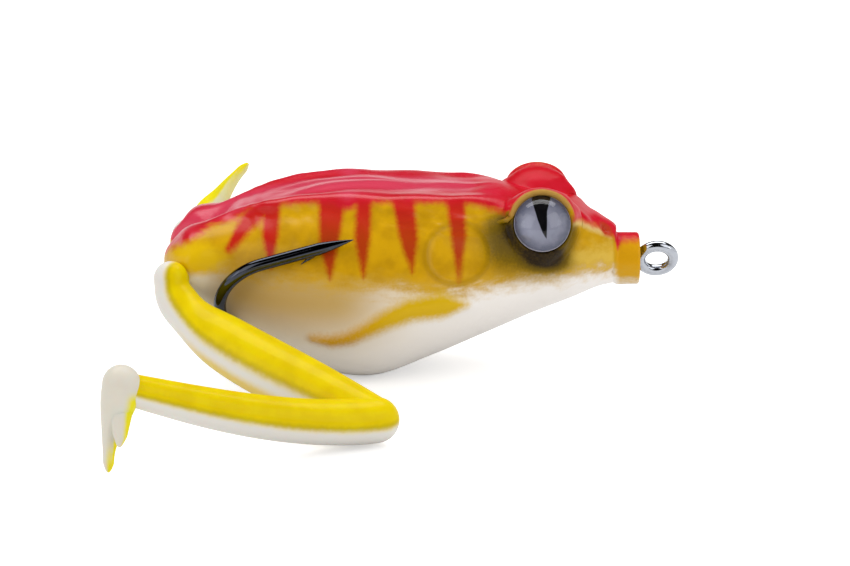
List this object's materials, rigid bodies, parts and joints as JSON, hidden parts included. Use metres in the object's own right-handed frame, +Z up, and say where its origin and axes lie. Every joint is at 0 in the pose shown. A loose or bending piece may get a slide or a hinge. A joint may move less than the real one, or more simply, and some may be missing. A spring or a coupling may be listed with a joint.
{
  "type": "hollow frog lure",
  "caption": "Soft hollow frog lure for topwater fishing: painted shell on a weedless double hook, nose line ring, domed eyes and kicking paddle legs.",
  "frame": {"origin": "centre of the flat under the belly, on which the lure rests", "axes": "+X towards the nose and its line ring, +Y to the frog's left, +Z up"},
  "size_m": [0.0665, 0.0969, 0.0243],
  "materials": {
    "painted_skin": "gloss clear coat over sprayed red, yellow and white",
    "iris_foil": "printed silver foil",
    "clear_lens": "clear cast resin",
    "bright_wire": "bright plated wire",
    "black_nickel": "smooth black nickel",
    "cast_lead": "as-cast lead",
    "leg_plastic": "smooth soft plastic, yellow above and pale below",
    "pale_plastic": "smooth translucent soft plastic"
  },
  "bodies": {
    "shell": {"body_shell": "painted_skin", "left_eye_iris": "iris_foil", "right_eye_iris": "iris_foil", "left_eye_lens": "clear_lens", "right_eye_lens": "clear_lens", "double_hook": "black_nickel", "keel_weight": "cast_lead", "left_leg_root": "leg_plastic", "right_leg_root": "leg_plastic"},
    "tie": {"line_tie": "bright_wire"},
    "left_upper_leg": {"left_thigh": "leg_plastic"},
    "left_lower_leg": {"left_shin": "leg_plastic"},
    "left_paddle": {"left_foot": "pale_plastic"},
    "right_upper_leg": {"right_thigh": "leg_plastic"},
    "right_lower_leg": {"right_shin": "leg_plastic"},
    "right_paddle": {"right_foot": "pale_plastic"}
  },
  "joints": [
    {"name": "line_tie_swivel", "type": "hinge", "parent": "shell", "child": "tie", "pos_m": [0.03517, 0, 0.01381], "axis": [1, 0, 0], "range_deg": [-64, 6]},
    {"name": "left_hip", "type": "hinge", "parent": "shell", "child": "left_upper_leg", "pos_m": [-0.0226, 0.0107, 0.01369], "axis": [0.2588, 0.176, 0.9498], "range_deg": [0, 100], "stiffness_Nm_per_rad": 0.006},
    {"name": "left_knee", "type": "hinge", "parent": "left_upper_leg", "child": "left_lower_leg", "pos_m": [0.00197, 0.03048, 0.00333], "axis": [-0.2588, -0.176, -0.9498], "range_deg": [0, 96], "stiffness_Nm_per_rad": 0.004},
    {"name": "left_ankle", "type": "hinge", "parent": "left_lower_leg", "child": "left_paddle", "pos_m": [-0.02343, 0.04788, 0.00702], "axis": [0.482, 0.786, -0.3871], "range_deg": [-52, 4], "stiffness_Nm_per_rad": 0.0001},
    {"name": "right_hip", "type": "hinge", "parent": "shell", "child": "right_upper_leg", "pos_m": [-0.0226, -0.0107, 0.01369], "axis": [-0.3256, 0.107, -0.9394], "range_deg": [0, 100], "stiffness_Nm_per_rad": 0.006},
    {"name": "right_knee", "type": "hinge", "parent": "right_upper_leg", "child": "right_lower_leg", "pos_m": [0.00145, -0.03097, 0.00305], "axis": [0.3256, -0.107, 0.9394], "range_deg": [0, 105], "stiffness_Nm_per_rad": 0.004},
    {"name": "right_ankle", "type": "hinge", "parent": "right_lower_leg", "child": "right_paddle", "pos_m": [-0.02553, -0.04405, 0.01091], "axis": [0.4015, -0.9064, -0.1311], "range_deg": [-34, 22], "stiffness_Nm_per_rad": 0.0001}
  ]
}
